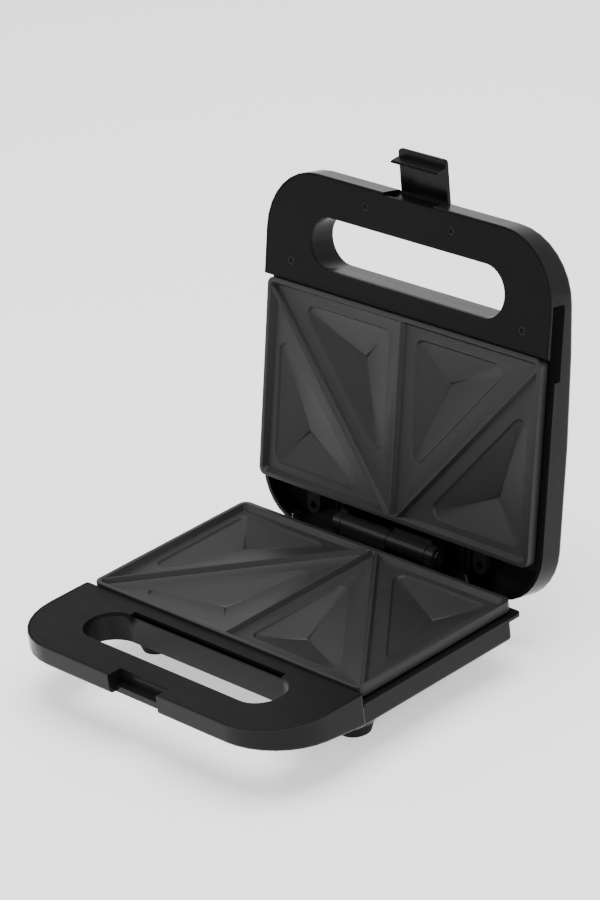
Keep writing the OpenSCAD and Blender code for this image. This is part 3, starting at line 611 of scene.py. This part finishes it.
@dataclass
class LidHalf(SubAssembly):
    """Lid shell, handle face, upper plate and what is inside them, with a finger grip in each side.

    A grip is measured on the shut lid: how far in front of the hinge pin it starts and ends, where
    its deep edge lies above the pin, how deep that is, and how far it takes to shelve out to
    nothing. The block that cuts it is longer than that run by cutter_over.
    """

    grip_front: float = 0.1685
    grip_rear: float = 0.123
    grip_edge: float = 0.0022
    grip_depth: float = 0.002
    grip_run: float = 0.0095
    cutter_over: float = 1.3

    def __post_init__(self) -> None:
        """List the pieces with their finishes."""
        self.worked = {
            "lid_shell": Work(Finish.SHELL, "shell"),
            "lid_frame": Work(Finish.FACE, "handle_face", CRISP),
            "lid_plate": Work(Finish.PLATE, "cooking_plate", CAST),
            "lid_frame_screws": Work(Finish.SCREW, "screw"),
            "lid_plate_screws": Work(Finish.SCREW, "screw"),
            "power_lens": Work(Finish.RED_LENS, "red_lens"),
            "ready_lens": Work(Finish.GREEN_LENS, "green_lens"),
            "latch_pin": Work(Finish.PIN, "pin"),
        }
        self.plain = {
            "lid_heater": Finish.SHEATH,
            "lid_heater_clips": Finish.SPRING,
            "lid_heat_shield": Finish.SHIELD,
            "lamp_bulbs": Finish.BULB,
        }

    def open_lie(self) -> Matrix:
        """Return the turn and place that take the shut lid's measures to the open lid."""
        joints = frame["record"]["behaviour"]["joints"]
        hinge = next(joint for joint in joints if joint["name"] == "lid_hinge")
        shut = math.radians(hinge["range_deg"][1])
        return Matrix.Translation(hinge["pos_m"]) @ Matrix.Rotation(-shut, 4, "X")

    def grip_cutter(self, side: int, side_wall: float) -> bpy.types.Object:
        """Make the block that cuts one grip, leaning so that the grip shelves out.

        Args:
            side: 1 for the right wall of the lid or -1 for the left.
            side_wall: how far the walls' outsides are from the middle.

        Returns:
            The block, in the matt finish that the cut faces take on, whose darker colour is painted
            shade.
        """
        middle = -(self.grip_front + self.grip_rear) / 2
        deep_edge = (side * (side_wall - self.grip_depth), middle, self.grip_edge)
        lean = side * math.atan2(self.grip_depth, self.grip_run)
        tall = self.cutter_over * self.grip_run
        deselect()
        bpy.ops.mesh.primitive_cube_add(size=1)
        cutter = bpy.context.active_object
        cutter.data.materials.append(self.finishes.get(Finish.GRIP))
        cutter.matrix_world = (
            self.open_lie()
            @ Matrix.Translation(deep_edge)
            @ Matrix.Rotation(lean, 4, "Y")
            @ Matrix.Translation((side * tall / 2, 0, tall / 2))
            @ Matrix.Diagonal((tall, self.grip_front - self.grip_rear, tall, 1))
        )
        return cutter

    def carve(self, node: str, piece: bpy.types.Object) -> None:
        """Sink a finger grip into each side wall of the lid's shell, its faces darkened as painted
        shade.
        """
        if node != "lid_shell":
            return
        side_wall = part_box(node)[1][0]
        for side in (1, -1):
            cutter = self.grip_cutter(side, side_wall)
            cut = piece.modifiers.new("finger grip", "BOOLEAN")
            cut.operation = "DIFFERENCE"
            cut.solver = "EXACT"
            # The cut faces take the cutter's darker finish, which is painted shade in the grip
            cut.material_mode = "TRANSFER"
            cut.object = cutter
            apply(piece, cut)
            bpy.data.objects.remove(cutter)
        log.info("%s has its finger grips", node)


@dataclass
class Clip(SubAssembly):
    """The latch that swings on the lid's pin."""

    def __post_init__(self) -> None:
        """List the piece with its finish."""
        self.worked = {"latch": Work(Finish.LATCH, "latch", CRISP)}


@dataclass(frozen=True)
class Softbox:
    """One square studio light that faces the toaster."""

    name: str
    place: Triple
    side: float
    watts: float

    def hang(self, target: Vector) -> None:
        """Put the light in place, turned to the target."""
        lamp = bpy.data.lights.new(self.name, "AREA")
        lamp.shape = "SQUARE"
        lamp.size = self.side
        lamp.energy = self.watts
        holder = bpy.data.objects.new(self.name, lamp)
        bpy.context.scene.collection.objects.link(holder)
        holder.location = self.place
        holder.rotation_euler = (target - Vector(self.place)).to_track_quat("-Z", "Y").to_euler()


@dataclass
class Studio:
    """Table, room, lights and camera.

    The table is lit from lit_from backwards and falls to its dim colour at dim_beyond, both along Y.
    The backdrop's spans are of the view direction's Y and Z. The camera's angles are in degrees.
    """

    table_side: float = 12.0
    table_colour: Colour = (0.92, 0.92, 0.92)
    table_dim: Colour = (0.4, 0.4, 0.4)
    dim_beyond: float = -2.2
    lit_from: float = -0.3
    table_glow: float = 0.8
    table_rough: float = 0.7
    table_specular: float = 0.2
    mottles_per_metre: float = 3
    mottle_darker: float = 0.985
    room: Colour = (0.24, 0.24, 0.24)
    backdrop: Colour = (1.5, 1.5, 1.5)
    backdrop_behind: Span = (0.0, 0.55)
    backdrop_low: Span = (0.35, 0.7)
    backdrop_overhead: float = 0.12
    aim: Triple = (0, 0.05, 0.1)
    lights: tuple[Softbox, ...] = (
        Softbox("front_fill", (0.8, -2.0, 0.9), side=1.3, watts=28),
        Softbox("left_fill", (-1.4, -1.1, 1.0), side=1.0, watts=11),
        Softbox("right_fill", (1.9, 0.3, 1.0), side=1.2, watts=4),
        Softbox("top", (0.0, 0.3, 2.2), side=1.8, watts=70),
    )
    eye: Triple = (1.512, -1.30751, 1.09886)
    heading: float = -48.89
    dip: float = 25.77
    roll: float = -7.02
    focal_px: float = 3873.33
    long_side_px: float = 900.0
    sensor_mm: float = 36.0
    nearest: float = 0.05
    farthest: float = 60.0

    def lay_table(self) -> None:
        """Make the pale floor under the toaster, which falls into shade towards the front."""
        deselect()
        bpy.ops.mesh.primitive_plane_add(size=self.table_side, location=(0, 0, 0))
        floor = bpy.context.active_object
        floor.name = "table"
        sheet = Sheet("table_top")
        at = sheet.place()
        lit = at.axis("Y").ramp((self.dim_beyond, self.lit_from))
        darker = tuple(self.mottle_darker * channel for channel in self.table_colour)
        mottle = sheet.noise(at, self.mottles_per_metre, detail=2)
        mottled = sheet.blend(darker, self.table_colour, mottle)
        floor.data.materials.append(sheet.fill(
            Base_Color=sheet.blend(self.table_dim, mottled, lit),
            Roughness=self.table_rough,
            Specular_IOR_Level=self.table_specular,
            Emission_Color=sheet.blend(self.table_dim, self.table_colour, lit),
            Emission_Strength=self.table_glow,
        ))

    def light(self) -> None:
        """Put a bright backdrop low behind the toaster in a dim room, and hang the lamps."""
        world = bpy.data.worlds.new("studio")
        bpy.context.scene.world = world
        world.use_nodes = True
        sky = Nodes(world.node_tree)
        source = sky.add("ShaderNodeTexCoord")
        towards = Signal(sky, source.outputs["Generated"])
        behind = towards.axis("Y").ramp(self.backdrop_behind)
        low = towards.axis("Z").ramp(self.backdrop_low, (1.0, self.backdrop_overhead))
        colour = sky.blend(self.room, self.backdrop, behind * low)
        sky.feed(sky.tree.nodes["Background"].inputs["Color"], colour)
        for box in self.lights:
            box.hang(Vector(self.aim))

    def stand_camera(self) -> None:
        """Put the camera where the picture was taken from."""
        yaw, pitch, roll = (math.radians(a) for a in (self.heading, self.dip, self.roll))
        flat = Vector((math.sin(yaw), math.cos(yaw), 0))
        ahead = flat * math.cos(pitch) - Vector((0, 0, math.sin(pitch)))
        level = Vector((math.cos(yaw), -math.sin(yaw), 0))
        upright = level.cross(ahead)
        right = level * math.cos(roll) + upright * math.sin(roll)
        up = upright * math.cos(roll) - level * math.sin(roll)
        lens = bpy.data.cameras.new("camera")
        lens.sensor_width = self.sensor_mm
        lens.lens = self.focal_px * self.sensor_mm / self.long_side_px
        lens.clip_start = self.nearest
        lens.clip_end = self.farthest
        camera = bpy.data.objects.new("camera", lens)
        bpy.context.scene.collection.objects.link(camera)
        camera.matrix_world = Matrix((right, up, -ahead)).transposed().to_4x4()
        camera.location = self.eye
        bpy.context.scene.camera = camera

    def build(self) -> None:
        """Set up the whole studio."""
        self.lay_table()
        self.light()
        self.stand_camera()


def main() -> None:
    """Dress the toaster and set up the studio."""
    logging.basicConfig(level=logging.INFO, format="%(name)s: %(message)s")
    finishes = Finishes()
    for part in (BaseHalf("base", finishes), LidHalf("lid", finishes), Clip("clip", finishes)):
        part.build()
        log.info("%s is dressed", part.body)
    Studio().build()


if __name__ == "__main__":
    main()
